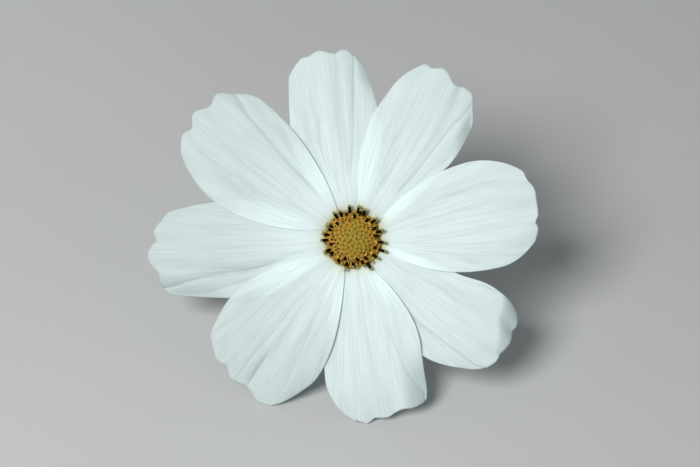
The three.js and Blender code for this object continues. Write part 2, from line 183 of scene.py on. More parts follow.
# %% The eight petals in millimetres
# Clockwise from the top. Pairs are left and right of a petal's axis. length is from the flower's
# centre, width the greatest half-width, widest the share of the blade where it lies, tip the share
# of it that is left at the tip, fall how far the tip's corner falls back and sharp how suddenly.
# lean and bow shift the tip to the left, straight and curved. fill is how slowly the claw widens.
# layer is above 0 where an edge lies over its neighbour, and droop lowers the outer part. notches
# are (place across, depth, width), swells of the outline (place along, mm), and folds (place
# across, depth, width).
PETALS = [
    dict(length=40.15, width=(10.1, 8.4), widest=(0.5, 0.52), tip=(0.93, 0.77), fall=(5.6, 5.9),
         sharp=(2.8, 1.8), lean=-0.1, bow=-0.7, fill=1.0, layer=(-1, -1), droop=0.5,
         notches=[(-0.03, 2.0, 0.28), (0.52, 0.9, 0.12), (0.33, 0.3, 0.15)], swells=([], [(0.9, -0.15)]),
         folds=[(-0.12, 0.2, 0.12), (0.38, 0.12, 0.12)]),
    dict(length=39.35, width=(11.2, 7.8), widest=(0.64, 0.85), tip=(0.63, 0.79), fall=(2.0, 1.4),
         sharp=(3.0, 1.4), lean=1.4, bow=1.9, fill=0.75, layer=(1, -1), droop=0.5,
         notches=[(0.71, 1.0, 0.2), (-0.07, 1.6, 0.3), (-0.86, 0.35, 0.06), (-1.02, 2.5, 0.13)],
         swells=([(0.68, -0.4)], [(0.6, 0.55), (0.78, 0.3)]),
         folds=[(-0.3, 0.2, 0.12), (0.2, -0.15, 0.15)]),
    dict(length=38.4, width=(9.3, 13.4), widest=(0.66, 0.74), tip=(0.53, 0.7), fall=(2.1, 1.3),
         sharp=(1.4, 4.0), lean=6.7, bow=-2.4, fill=0.75, layer=(1, 1), droop=0.2,
         notches=[(-0.61, 0.7, 0.09), (0.62, 0.35, 0.2)], swells=([(0.78, -0.25)], [(0.95, 0.2)]),
         folds=[(-0.2, 0.1, 0.12), (0.35, 0.1, 0.14)]),
    dict(length=38.9, width=(9.3, 10.3), widest=(0.83, 0.7), tip=(0.86, 0.74), fall=(2.9, 4.9),
         sharp=(4.0, 3.6), lean=-1.2, bow=1.6, fill=1.1, layer=(-1, -1), droop=0.5,
         notches=[(0.53, 0.7, 0.15), (-0.13, 0.3, 0.13)],
         swells=([(0.52, -0.5), (0.74, 0.35), (0.96, 0.2)], [(0.88, -0.1)]),
         folds=[(-0.15, 0.2, 0.12), (0.3, -0.15, 0.15)]),
    dict(length=39.1, width=(10.9, 9.3), widest=(0.6, 0.73), tip=(0.95, 0.61), fall=(4.0, 3.4),
         sharp=(2.2, 2.2), lean=-0.2, bow=0.3, fill=0.93, layer=(1.8, -1), droop=0.9,
         notches=[(-0.05, 1.7, 0.24), (0.46, 2.0, 0.29)], swells=([(0.93, 0.45)], [(0.8, 0.2), (1.0, 0.8)]),
         folds=[(0.35, 0.2, 0.12), (-0.2, 0.15, 0.12)]),
    dict(length=39.5, width=(10.9, 13.2), widest=(0.85, 0.76), tip=(0.92, 0.95), fall=(9.4, 5.9),
         sharp=(2.9, 2.4), lean=-0.5, bow=2.5, fill=0.97, layer=(1.5, 1), droop=0.8,
         notches=[(-0.51, 1.4, 0.11), (-0.05, 1.85, 0.29), (0.37, -0.6, 0.1)], swells=([], []),
         folds=[(-0.45, 0.2, 0.14), (0.1, 0.2, 0.12)]),
    dict(length=42.8, width=(10.8, 9.4), widest=(0.5, 0.5), tip=(0.95, 0.74), fall=(3.6, 5.7),
         sharp=(2.4, 1.2), lean=-2.1, bow=-1.4, fill=1.0, layer=(-1, -1), droop=0.9,
         notches=[(-0.11, 2.0, 0.21), (0.56, 1.2, 0.15)], swells=([], []),
         folds=[(0.45, 0.2, 0.14), (-0.2, 0.15, 0.12)]),
    dict(length=41.95, width=(11.5, 10.8), widest=(0.68, 0.83), tip=(0.72, 0.79), fall=(3.4, 4.9),
         sharp=(2.2, 3.8), lean=0.1, bow=-0.5, fill=0.86, layer=(1, 1.6), droop=0.4,
         notches=[(0.32, 1.6, 0.18), (-0.38, 2.0, 0.25), (-0.89, 0.8, 0.08)], swells=([(0.85, -0.15)], []),
         folds=[(-0.3, 0.2, 0.12), (0.05, 0.15, 0.12), (0.42, 0.2, 0.12)]),
]


# %% The plan of a petal, along and across
BOW_BLADE = 32  # mm of blade, over which a petal's lean and bow are given
NOTCH_RISE = 6  # how suddenly a notch starts near the tip
TEETH = ((7, 1.0, 0), (17, 0.6, 9))  # how close, how deep, and a seed
TOOTH_DEPTH, TOOTH_RISE = 0.08, 12  # mm, and how suddenly the fine teeth start near the tip
SWELL_SPAN = 0.12  # share of the blade


def side_width(petal, side, s):
    """Half-width of one side as a share of its greatest, at share s of the blade."""
    start, widest = CLAW_HALF_WIDTH / petal["width"][side], petal["widest"][side]
    if s < widest:
        return start + (1 - start) * math.sin(math.pi / 2 * (s / widest) ** petal["fill"])
    return 1 - (1 - petal["tip"][side]) * ((s - widest) / (1 - widest)) ** 2


def petal_plan(petal, side, s, t):
    """u along the petal's axis from the flower's centre and v to its left, in mm."""
    reach = petal["length"] - petal["fall"][side] * abs(t) ** petal["sharp"][side]
    for place, depth, width in petal["notches"]:
        reach -= depth * bell(t, place, width) * s ** NOTCH_RISE
    teeth = sum(deep * noise.noise(Vector((close * t, petal["length"], seed))) for close, deep, seed in TEETH)
    reach -= TOOTH_DEPTH * teeth * s ** TOOTH_RISE
    u = BLADE_START + (reach - BLADE_START) * s
    share = (u - BLADE_START) / BOW_BLADE
    v = t * petal["width"][side] * side_width(petal, side, s)
    v += t * sum(swell * bell(s, place, SWELL_SPAN) for place, swell in petal["swells"][side])
    return u, v + petal["lean"] * share + petal["bow"] * share * share


def vein_place(petal, side, s, t):
    """Which vein runs through a place: 0 is the midrib, and 1 and -1 are the margins at the claw."""
    width, widest = petal["width"][side], petal["widest"][side]
    outline = width * side_width(petal, side, s)
    fan = CLAW_HALF_WIDTH + (width - CLAW_HALF_WIDTH) * s / widest
    return t * outline / (0.5 * (fan + outline))


# %% [markdown]
# ## The petals' relief
#
# The petals arch gently, and where one passes its neighbour the upper edge is lifted and the lower
# one pressed down. Their free margins bend back a little, some more than others, and the tip of the
# fourth is folded down. On top of that come the sharp creases left from the bud, where each petal
# lay folded, and soft lengthwise channels between the veins. A displacement texture could add such
# relief, but it wouldn't follow each petal's own lines, so the formula holds it. All of it is real
# relief in the mesh. The material adds only the finest veins, and painted shade in the creases.

# %% Creases left from the bud
# Each crease: its depth in mm (negative for a ridge), how wide its right and left walls are in mm,
# and the places (along, across) that it passes, from the tip inwards. The first and the last say
# how far it reaches, and those between count as evenly spaced.
CREASES = [
    [
        (0.3, 0.3, 0.9, [(0.98, -0.64), (0.74, -0.5), (0.54, -0.39), (0.38, -0.31), (0.22, -0.26)]),
        (-0.06, 0.5, 0.5, [(0.89, 0.79), (0.73, 0.66), (0.47, 0.46), (0.32, 0.46)]),
        (0.06, 0.5, 0.5, [(0.69, 0.69), (0.48, 0.58), (0.32, 0.58)]),
        (-0.03, 0.3, 0.3, [(0.6, 0.14), (0.48, 0.1), (0.35, 0.09), (0.1, 0.19)]),
    ],
    [
        (0.28, 0.4, 0.5, [
            (0.98, -0.86), (0.9, -0.71), (0.82, -0.63), (0.74, -0.54), (0.66, -0.5), (0.58, -0.47),
            (0.5, -0.46), (0.42, -0.47), (0.34, -0.455), (0.26, -0.42), (0.18, -0.39),
        ]),
        (-0.07, 0.5, 0.5, [(0.92, -0.29), (0.72, -0.22), (0.49, -0.18), (0.3, -0.14)]),
        (0.08, 0.5, 0.5, [(0.81, 0.16), (0.58, 0.18), (0.42, 0.18), (0.15, 0.12)]),
        (-0.07, 0.6, 0.6, [(0.88, 0.82), (0.69, 0.65), (0.45, 0.53)]),
    ],
    [
        (-0.09, 1.0, 1.0, [(0.78, 0.5), (0.6, 0.5), (0.39, 0.38), (0.18, 0.38)]),
        (-0.06, 0.8, 0.8, [(0.54, -0.6), (0.35, -0.58), (0.09, -0.7)]),
        (0.06, 0.6, 0.6, [(0.48, 0.2), (0.38, 0.27), (0.28, 0.25)]),
        (0.06, 0.6, 0.6, [(0.9, -0.04), (0.77, -0.01), (0.57, -0.04), (0.3, -0.05)]),
    ],
    [
        (0.34, 0.3, 0.4, [(0.96, -0.67), (0.81, -0.56), (0.64, -0.53), (0.53, -0.54), (0.42, -0.61)]),
        (0.05, 0.3, 0.3, [(0.64, 0.16), (0.46, 0.14), (0.32, 0.12), (0.16, 0.18)]),
        (0.05, 0.3, 0.3, [(0.62, -0.19), (0.39, -0.2), (0.2, -0.17), (0.06, -0.12)]),
    ],
    [
        (0.22, 0.9, 0.3, [(0.96, 0.96), (0.7, 0.72), (0.42, 0.54), (0.24, 0.49), (0.09, 0.46)]),
        (0.05, 0.5, 0.4, [(0.79, 0.18), (0.64, 0.13), (0.46, 0.07), (0.26, 0.02)]),
    ],
    [
        (0.7, 0.6, 1.0, [(0.93, -0.04), (0.82, -0.04), (0.71, -0.02)]),
        (0.2, 0.5, 0.5, [(0.95, -0.25), (0.72, -0.19), (0.48, -0.13), (0.3, -0.14)]),
        (0.22, 1.0, 0.3, [(0.87, 0.57), (0.58, 0.51), (0.35, 0.49), (0.07, 0.4)]),
        (0.07, 0.6, 0.5, [(0.88, -0.85), (0.69, -0.72), (0.49, -0.64)]),
        (0.06, 0.3, 0.3, [(0.29, -0.73), (0.17, -0.78), (0.06, -0.85)]),
    ],
    [
        (0.55, 0.9, 0.45, [
            (0.98, 0.86), (0.83, 0.71), (0.68, 0.595), (0.53, 0.505), (0.38, 0.45), (0.23, 0.4),
        ]),
        (0.16, 0.4, 0.35, [(0.88, 0.95), (0.74, 0.9), (0.6, 0.79), (0.46, 0.67)]),
        (0.04, 0.5, 0.5, [(0.85, 0.46), (0.59, 0.28), (0.3, 0.12), (0.07, 0.1)]),
    ],
    [
        (0.45, 0.3, 1.2, [(1.0, -0.88), (0.78, -0.635), (0.565, -0.525), (0.35, -0.46), (0.13, -0.52)]),
        (0.09, 0.4, 0.4, [(0.76, 0.06), (0.61, 0.14), (0.43, 0.13), (0.22, 0.14)]),
        (0.06, 0.4, 0.4, [(0.79, 0.58), (0.53, 0.54), (0.38, 0.53), (0.2, 0.4)]),
    ],
]
CREASE_FADE = 0.1  # share of the blade over which a crease begins or ends
CREASE_TO_TIP = 0.94  # a crease that starts farther out runs through to the tip
VALLEY_SHADE, VALLEY_WIDTH = 0.1, 0.35  # how dark the painted shade at a crease's bottom is, and mm


def crease_profile(creases, s, t, half_width):
    """The creases at a place of a petal: their depth in mm, and the painted shade at their bottoms."""
    depth = painted_crease_shade = 0.0
    for deep, right, left, path in creases:
        far, near = path[0][0], path[-1][0]
        if near - CREASE_FADE < s < far + CREASE_FADE:
            across = (t - along(path, (far - s) / (far - near))[1]) * half_width
            fade = smooth(s, near - CREASE_FADE, near + CREASE_FADE)
            if far < CREASE_TO_TIP:
                fade *= 1 - smooth(s, far - CREASE_FADE / 2, far + CREASE_FADE)
            depth += deep * fade * math.exp(-abs(across) / (left if across > 0 else right))
            # Painted shade along the bottom of the crease, stronger where the crease is deep and narrow.
            painted_crease_shade += VALLEY_SHADE * deep / min(left, right) ** 2 * fade * bell(across, 0, VALLEY_WIDTH)
    return depth, painted_crease_shade


# %% Layers, folds and curled margins
LAYER_LIFT = (0.17, 0.3)  # mm, at the claw and at the margin
# Where each form begins and is complete: mm from the centre, or shares across for the ACROSS ones.
LAYER_FROM, LAYER_SPAN, LAYER_ACROSS = (5.0, 6.0), (8, 20), (0.1, 0.65)
FOLD_SPAN, DROOP_SPAN, CURL_SPAN = (12, 26), (29, 39), (25, 34)
CURL_FULL, CURL_FADE = 1.25, 0.2  # across, where a curl would be complete, and along, where it ends
# How far in mm the free left and right margins would bend back at CURL_FULL, how far across that
# begins, and how far along it begins to end.
MARGIN_CURL = [
    ((0.6, 1.5), 0.5, 1.1), ((0.4, 3.2), 0.66, 0.82), ((0.4, 0.6), 0.5, 1.1), ((0.6, 1.0), 0.5, 1.1),
    ((3.4, 0.6), 0.5, 1.1), ((0.8, 0.8), 0.5, 1.1), ((3.2, 0.4), 0.5, 1.1), ((0.6, 1.0), 0.5, 1.1),
]


def large_relief(k, side, s, t, radius):
    """How far the large forms of petal k lift a place over its arch, in mm."""
    petal = PETALS[k]
    lift = LAYER_LIFT[0] + (LAYER_LIFT[1] - LAYER_LIFT[0]) * smooth(radius, *LAYER_SPAN)
    height = petal["layer"][side] * lift * smooth(abs(t), *LAYER_ACROSS) * smooth(radius, *LAYER_FROM)
    for place, depth, width in petal["folds"]:
        height -= depth * bell(t, place, width) * smooth(radius, *FOLD_SPAN)
    droop_from, droop_to = DROOP_SPAN
    height -= petal["droop"] * max(0.0, (radius - droop_from) / (droop_to - droop_from)) ** 2
    curls, curl_from, curl_until = MARGIN_CURL[k]
    curled = smooth(abs(t), curl_from, CURL_FULL) * smooth(radius, *CURL_SPAN)
    curled *= 1 - smooth(s, curl_until, curl_until + CURL_FADE)
    return height - curls[side] * curled


# %% The folded tip of the fourth petal
TIP_FOLD_PETAL = 3  # counted from 0
TIP_FOLD = [  # (along, across) places of the fold's line, evenly spaced across
    (0.905, 0.86), (0.913, 0.56), (0.962, 0.26), (1.01, -0.04), (1.08, -0.34),
]
TIP_SLOPE = 0.75  # how steeply the folded part falls
TIP_START, TIP_ROUNDING = 2.2, 1.6  # mm before the line where it begins to bend, and how roundly
TIP_FLATTENING = 0.012  # how much of its fall it loses again towards its edge


def tip_fall(petal, s, t):
    """How far the fold lowers a place of its petal, in mm."""
    first, last = TIP_FOLD[0][1], TIP_FOLD[-1][1]
    if t <= last:
        return 0.0
    crossing = along(TIP_FOLD, (first - t) / (first - last))[0]
    bent = max(0.0, (s - crossing) * (petal["length"] - BLADE_START) + TIP_START)
    return TIP_SLOPE * bent * bent / (bent + TIP_ROUNDING) - TIP_FLATTENING * bent * bent


# %% Channels and waves
CHANNEL_DEPTHS = ((9, 0.025), (26, 0.006))  # channels across half a petal, and mm
CHANNEL_GROWTH, CHANNEL_FADE, CHANNEL_STRETCH = (0.0, 0.2), (0.3, 0.9), 1.5
BROAD_WAVE, BROAD_ACROSS, BROAD_ALONG = 0.2, 2.2, 1.3  # mm, and waves across and along
BROAD_SPAN, BOUND_ACROSS = (8, 24), (0.55, 0.95)  # no waves at the claw, nor on bound margins
EDGE_WAVE, EDGE_CLOSENESS = 0.15, 0.25  # mm, and waves per mm, of the free margin
FREE_SPAN, EDGE_SPAN = (20, 28), (0.8, 1.0)  # mm from the centre, and share across or along


def fine_relief(seed, s, t, u, v, vein):
    """Channels between the veins, broad waves, and the waves of the free margin, in mm."""
    radius, height = math.hypot(u, v), 0.0
    grow = smooth(s, *CHANNEL_GROWTH) * (1 - 0.5 * smooth(s, *CHANNEL_FADE))
    for across, depth in CHANNEL_DEPTHS:
        height += depth * grow * noise.noise(Vector((vein * across, s * CHANNEL_STRETCH, seed)))
    free = smooth(radius, *FREE_SPAN)
    inner = smooth(radius, *BROAD_SPAN) * (1 - smooth(abs(t), *BOUND_ACROSS) * (1 - free))
    height += BROAD_WAVE * inner * noise.noise(Vector((t * BROAD_ACROSS, s * BROAD_ALONG, seed + 7)))
    free_margin = free * smooth(max(abs(t), s), *EDGE_SPAN)
    place = Vector((u * EDGE_CLOSENESS, v * EDGE_CLOSENESS, seed + 13))
    return height + EDGE_WAVE * free_margin * noise.noise(place)


# %% The point of a petal's middle surface
ARCH_FALL = (0.7, 0.6, 0.4, 0.5, 1.0, 1.0, 0.6, 0.6)  # how much of the arch's fall each petal has left
ARCH_ROUNDING = 0.15  # share of the blade over which the arch turns round the head's axis
CLAW_SHARE = 0.1  # share of the grid's rows that make the claw
TABLE_CLEARANCE = 0.16  # mm, so that a petal lying on the table has its own thickness


def arch_height(radius, fall=1.0):
    """Height in mm of the arch that all petals follow."""
    share = (radius - ARCH_RADIUS) / (ARCH_RADIUS - BLADE_START)
    if share > 0:
        share *= fall
    return PETAL_ARCH - (PETAL_ARCH - BLADE_START_HEIGHT) * share * share


def petal_azimuth(k):
    """Where petal k points, in radians anticlockwise from the right."""
    return math.radians(FIRST_AZIMUTH - PETAL_STEP * k)


def petal_point(k, share, t):
    """The middle surface of petal k in mm, the painted shade of a crease there, and on which vein."""
    petal, side = PETALS[k], (0 if t >= 0 else 1)
    s = (share - CLAW_SHARE) / (1 - CLAW_SHARE)
    if s < 0:
        u, height, half_width = along(CLAW, share / CLAW_SHARE)
        v, vein = t * half_width, t
    else:
        u, v = petal_plan(petal, side, s, t)
        height = arch_height(u + (math.hypot(u, v) - u) * smooth(s, 0, ARCH_ROUNDING), ARCH_FALL[k])
        half_width = petal["width"][side] * side_width(petal, side, s)
        vein = vein_place(petal, side, s, t)
    height += large_relief(k, side, s, t, math.hypot(u, v))
    if k == TIP_FOLD_PETAL:
        height -= tip_fall(petal, s, t)
    crease, painted_crease_shade = crease_profile(CREASES[k], s, t, half_width)
    height += fine_relief(10.0 * (k + 1), s, t, u, v, vein) - crease
    point = Matrix.Rotation(petal_azimuth(k), 3, "Z") @ Vector((u, v, height))
    above_table = (head @ point).z / MM - TABLE_CLEARANCE
    if above_table < 0:
        point += face_turn.transposed() @ Vector((0, 0, -above_table))
    return point, painted_crease_shade, vein


# %% [markdown]
# ## Materials are node trees
#
# A material can be wired by hand in the shader editor, or drawn as an image and wrapped round the
# piece. Here it is wired in code, so that every pattern has a known size. One small function adds a
# node, sets its values and links its inputs, so that each material below reads as a list of what
# its surface does. A second one starts a material, and a third fills a colour ramp.

# %% Helpers for materials
def new_material(name):
    material = bpy.data.materials.new(name)
    material.use_nodes = True
    material.node_tree.nodes.clear()
    return material


def add_node(material, kind, inputs=None, **settings):
    """Adds a node. Each input is a constant, an output socket to link from, or a node, which then
    gives its first output."""
    tree = material.node_tree
    node = tree.nodes.new(kind)
    for key, value in settings.items():
        setattr(node, key, value)
    for key, value in (inputs or {}).items():
        if isinstance(value, bpy.types.Node):
            value = value.outputs[0]
        if isinstance(value, bpy.types.NodeSocket):
            tree.links.new(value, node.inputs[key])
        else:
            node.inputs[key].default_value = value
    return node


def set_ramp(node, stops):
    """Sets a colour ramp from (position, sRGB hex) pairs."""
    ramp = node.color_ramp
    while len(ramp.elements) > 1:
        ramp.elements.remove(ramp.elements[-1])
    ramp.elements[0].position, ramp.elements[0].color = stops[0][0], linear(stops[0][1])
    for position, colour in stops[1:]:
        ramp.elements.new(position).color = linear(colour)


# %% [markdown]
# ## Petal tissue
#
# A white petal holds no white paint: clear cells with air between them scatter the light, so it is
# bright, soft and a little see-through, and looks whiter where two petals lie over each other.
# Subsurface scattering suits thick bodies, so for a thin sheet the shader mixes a rough reflecting
# surface with a translucent one. u of the petal's UV map counts the veins and v the length, so a
# noise that is stretched along v gives soft mottles, and the lines where a noise crosses its middle
# give threads, 0.1 to 0.3 mm wide. The real threads are finer and closer, but would not show.

# %% A thin sheet's surface
def thin_tissue(material, colour, bump, roughness, specular, through_share):
    """Ends a material as a thin sheet that reflects light and also lets some through."""
    surface = add_node(material, "ShaderNodeBsdfPrincipled", {
        "Base Color": colour, "Roughness": roughness, "Specular IOR Level": specular, "Normal": bump,
    })
    through = add_node(material, "ShaderNodeBsdfTranslucent", {"Color": colour, "Normal": bump})
    both = add_node(material, "ShaderNodeMixShader", {0: through_share, 1: surface, 2: through})
    add_node(material, "ShaderNodeOutputMaterial", {0: both})


# %% Petal material
PETAL_BREADTH, PETAL_LENGTH = 23.4, 36  # mm of a broad petal, which u and v span from 0 to 1
MOTTLES = ((2.6, 14.4, 0.14), (0.9, 12, 0.1), (0.26, 6, 0.22))  # mm across, mm along, and weight
THREADS = ((1.56, 36, 0.2), (0.9, 22.5, 0.16))  # mm between threads, mm along, and weight
THREAD_HALF_WIDTH = 0.06  # as a step of the noise
THREAD_FADE = {1: 0.1, 2: 0.75, 3: 1.0, 4: 0.4}  # Map Range's two places along, and the strengths there
TISSUE_TINTS = [(0.3, "#dae8e9"), (0.5, "#e9f5f6"), (0.7, "#f4feff")]  # in a vein, and between
LENGTH_TINTS = [  # yellowish at the claw, white in the blade
    (0.0, "#d8cf92"), (0.07, "#f1eac6"), (0.11, "#fefcf4"), (0.14, "#ffffff"), (0.4, "#fdfdfd"),
    (1.0, "#f6f6f6"),
]
PAINTED_LAYER_TINTS = [(0.0, "#d2d8d8"), (0.5, "#ececec"), (1.0, "#f7f7f7")]  # painted shade in a crease, single layer, painted light


def petal_material():
    material = new_material("white petal tissue")
    uv = add_node(material, "ShaderNodeTexCoord").outputs["UV"]
    length = add_node(material, "ShaderNodeSeparateXYZ", {0: uv}).outputs["Y"]
    near_claw = add_node(material, "ShaderNodeMapRange", {0: length, **THREAD_FADE})

    def stretched_noise(across, lengthwise):
        """Noise round 0, in patches of so many mm across and along the petal."""
        scale = (PETAL_BREADTH / across, PETAL_LENGTH / lengthwise, 1)
        lines = add_node(material, "ShaderNodeMapping", {"Vector": uv, "Scale": scale})
        pattern = add_node(material, "ShaderNodeTexNoise", {"Vector": lines, "Scale": 1.0, "Detail": 0})
        return add_node(material, "ShaderNodeMath", {0: pattern, 1: -0.5}, operation="ADD")

    veins = 0.5
    for across, lengthwise, weight in MOTTLES:
        patches = stretched_noise(across, lengthwise)
        veins = add_node(
            material, "ShaderNodeMath", {0: patches, 1: weight, 2: veins}, operation="MULTIPLY_ADD"
        )
    for across, lengthwise, weight in THREADS:
        level = stretched_noise(across, lengthwise)
        away = add_node(material, "ShaderNodeMath", {0: level}, operation="ABSOLUTE")
        thread = add_node(
            material, "ShaderNodeMapRange", {0: away, 1: 0.0, 2: THREAD_HALF_WIDTH, 3: -weight, 4: 0.0}
        )
        veins = add_node(
            material, "ShaderNodeMath", {0: thread, 1: near_claw, 2: veins}, operation="MULTIPLY_ADD"
        )
    tissue = add_node(material, "ShaderNodeValToRGB", {0: veins})
    set_ramp(tissue, TISSUE_TINTS)
    lengthwise_tint = add_node(material, "ShaderNodeValToRGB", {0: length})
    set_ramp(lengthwise_tint, LENGTH_TINTS)
    # Painted light near the disc and where petals lie double, and painted shade in the creases, come from
    # this attribute.
    painted_light_and_shade = add_node(material, "ShaderNodeAttribute", attribute_name="painted_light_and_shade").outputs["Fac"]
    shade = add_node(material, "ShaderNodeMapRange", {0: painted_light_and_shade, 1: -1.0, 2: 1.0})
    layers = add_node(material, "ShaderNodeValToRGB", {0: shade})
    set_ramp(layers, PAINTED_LAYER_TINTS)
    # Painted shade that greys some petals' inner or outer part, from a vertex attribute.
    painted_shade_tone = add_node(material, "ShaderNodeAttribute", attribute_name="painted_shade_tone")
    colour = tissue.outputs[0]
    for factor in (lengthwise_tint, layers, painted_shade_tone):
        colour = add_node(
            material, "ShaderNodeMix", {0: 1.0, 6: colour, 7: factor},
            data_type="RGBA", blend_type="MULTIPLY",
        ).outputs[2]
    bump = add_node(material, "ShaderNodeBump", {"Height": veins, "Strength": 0.4, "Distance": 0.12 * MM})
    thin_tissue(material, colour, bump, roughness=0.6, specular=0.3, through_share=0.5)
    return material


# %% Shape the petals
PETAL_COLUMNS, PETAL_ROWS = 160, 100
PETAL_OUTER_PAINTED_SHADE = (0.06, 0.03, 0, 0, 0, 0.12, 0.14, 0.125)  # painted shade: how much greyer each petal is in its outer part
PETAL_INNER_PAINTED_SHADE = (0, 0.03, 0.045, 0.05, 0.01, 0, -0.03, 0)  # and in its inner part, where below 0 is painted light
OUTER_SPAN, INNER_SPAN = (8, 30), (12, 22)  # mm from the centre, where the two painted shades begin and end
CLAW_PAINTED_LIGHT, CLAW_SPAN = 0.5, (8, 16)  # painted light near the disc, against the disc's shade, and mm from the centre where it fades


def petal_sheet(k):
    """Petal k as a bent grid. Its first attribute is above 0 near the disc, as painted light, and below
    0 at the bottoms of the creases, as painted shade. Its second is 1 less the painted shade of the
    petal's inner and outer part."""
    marks = []

    def place(share, t):
        point, painted_crease_shade, vein = petal_point(k, share, t)
        marks.append((painted_crease_shade, vein))
        return point

    bm = sheet(PETAL_COLUMNS, PETAL_ROWS, place)
    painted_light_and_shade = bm.verts.layers.float.new("painted_light_and_shade")
    painted_shade_tone = bm.verts.layers.float.new("painted_shade_tone")
    uv = bm.loops.layers.uv["UVMap"]
    for vertex, (painted_crease_shade, vein) in zip(bm.verts, marks):
        for loop in vertex.link_loops:
            loop[uv].uv.x = 0.5 + 0.5 * vein
        radius = math.hypot(*vertex.co.xy)
        # Painted light near the disc, to offset the shade that the disc casts there.
        claw_painted_light = CLAW_PAINTED_LIGHT * (1 - smooth(radius, *CLAW_SPAN))
        vertex[painted_light_and_shade] = claw_painted_light - min(max(painted_crease_shade, 0.0), 1.0)
        # Painted shade, per petal, in its inner and outer part.
        inner_painted_shade = PETAL_INNER_PAINTED_SHADE[k] * (1 - smooth(radius, *INNER_SPAN))
        vertex[painted_shade_tone] = 1 - PETAL_OUTER_PAINTED_SHADE[k] * smooth(radius, *OUTER_SPAN) - inner_painted_shade
    return bm


petal_sheets = [petal_sheet(k) for k in range(len(PETALS))]
print(len(petal_sheets), "petals of", len(petal_sheets[0].verts), "points")

# %% [markdown]
# ## Where petals lie double
#
# Near the disc each petal lies over or under its neighbours. Two layers let less light through, so
# the upper petal looks whiter there, and the hidden edge of the lower one shows as a soft line. That
# whitening is painted into the colour as painted light. A ray through each point of a petal, along
# the head's axis, tells whether it meets a neighbour. The answer is kept as a vertex attribute.

# %% Find the double places
DOUBLE_REACH = [  # mm from the centre, where the painted light on a petal's left and right side has faded
    (36, 36), (34, 34), (28, 28), (20, 20), (18, 18), (23, 34), (36, 36), (32, 27),
]
DOUBLE_FROM, DOUBLE_UNTIL = 10, 30  # mm from the centre: it is full up to the first, none past the second
RAY_START = 20  # mm, well over all petals
LOOK_ROUND = ((0, 0), (0.35, 0), (-0.35, 0), (0, 0.35), (0, -0.35))  # mm, for a soft edge to the painted light
trees = [BVHTree.FromBMesh(bm) for bm in petal_sheets]
doubled = 0
for k, bm in enumerate(petal_sheets):
    painted_light_and_shade = bm.verts.layers.float["painted_light_and_shade"]
    painted_shade_tone = bm.verts.layers.float["painted_shade_tone"]
    neighbours = [trees[(k + 1) % len(trees)], trees[(k - 1) % len(trees)]]
    for vertex in bm.verts:
        x, y, _ = vertex.co
        radius = math.hypot(x, y)
        if radius < DOUBLE_UNTIL:
            hits = sum(
                any(
                    tree.ray_cast(Vector((x + dx, y + dy, RAY_START)), Vector((0, 0, -1)))[0]
                    for tree in neighbours
                )
                for dx, dy in LOOK_ROUND
            )
            side = 0 if math.sin(math.atan2(y, x) - petal_azimuth(k)) > 0 else 1
            fade = 1 - smooth(radius, DOUBLE_FROM, DOUBLE_REACH[k][side])
            # Painted light where the petal lies double, and its painted shade lifted there.
            double = hits / len(LOOK_ROUND) * fade
            vertex[painted_light_and_shade] += double
            vertex[painted_shade_tone] += (1 - vertex[painted_shade_tone]) * double
            doubled += hits > 0
print(doubled, "points of the petals lie double")

# %% Make the petals
PETAL_THICKNESS = 0.26  # mm
white_tissue = petal_material()
for k, bm in enumerate(petal_sheets):
    name, node = f"ray_petal_{k + 1}", f"petal_{k + 1}"
    finish_piece(name, bm, head, white_tissue, [node], PETAL_THICKNESS)

# %% [markdown]
# ## The disc
#
# A cosmos head is not one flower but about a hundred: the disc is packed with tiny tube-shaped
# florets, which open from the rim inwards. They stand in the golden-angle spiral that lets each new
# floret fit between the older ones. In the middle they are still closed, blunt yellow-green buds.
# Round them nearly half are still closed, and the others are open, with five small recurved lobes
# round a young brown anther tube. From the rim stick dark, ripe anther tubes with pollen on top.
# Instances on points would scatter them with less code, but a part needs real meshes, so each kind
# is modelled once with a few dozen faces and copied into one mesh.

# %% Helpers for round shapes and their copies
def spun(profile, steps):
    """A surface of revolution about z from (radius, height) points."""
    bm = bmesh.new()
    points = [bm.verts.new((radius, 0, height)) for radius, height in profile]
    edges = [bm.edges.new(pair) for pair in zip(points, points[1:])]
    bmesh.ops.spin(
        bm, geom=points + edges, cent=(0, 0, 0), axis=(0, 0, 1), angle=2 * math.pi, steps=steps,
        use_merge=True,
    )
    bmesh.ops.remove_doubles(bm, verts=bm.verts, dist=1e-4)
    bmesh.ops.recalc_face_normals(bm, faces=bm.faces)
    return bm


def template(bm):
    """Keeps a bmesh as a plain mesh, to be copied many times."""
    mesh = bpy.data.meshes.new("template")
    bm.to_mesh(mesh)
    bm.free()
    return mesh


def add_copy(bm, shape, matrix):
    """Adds a copy of a plain mesh to a bmesh, turned and moved by a matrix."""
    count = len(bm.verts)
    bm.from_mesh(shape)
    bm.verts.ensure_lookup_table()
    bmesh.ops.transform(bm, matrix=matrix, verts=bm.verts[count:])


def standing(radius, azimuth, height, lean, turn=0.0, scale=1.0):
    """Where a shape made along +z goes: out from the axis, leaning outwards by an angle."""
    return (
        Matrix.Rotation(azimuth, 4, "Z") @ Matrix.Translation((radius, 0, height))
        @ Matrix.Rotation(lean, 4, "Y") @ Matrix.Rotation(turn, 4, "Z") @ Matrix.Scale(scale, 4)
    )


# %% [markdown]
# ## Disc tissues
#
# Florets are soft, matt and slightly waxy, and shine a little from within. Their colour changes from
# floret to floret, and from the young ones in the middle to the ripe ones at the rim. One noise with
# patches of a floret's size and one vertex attribute, age, give both, with one function for all the
# tissues. Separate materials per floret would look the same and be slower to change.

# %% Disc materials
SKIN_GRAIN = 0.12  # mm, four cells of a floret's skin, because single ones would not show
AGE_SHIFT = -0.25  # how far age moves a place towards the start of its colours


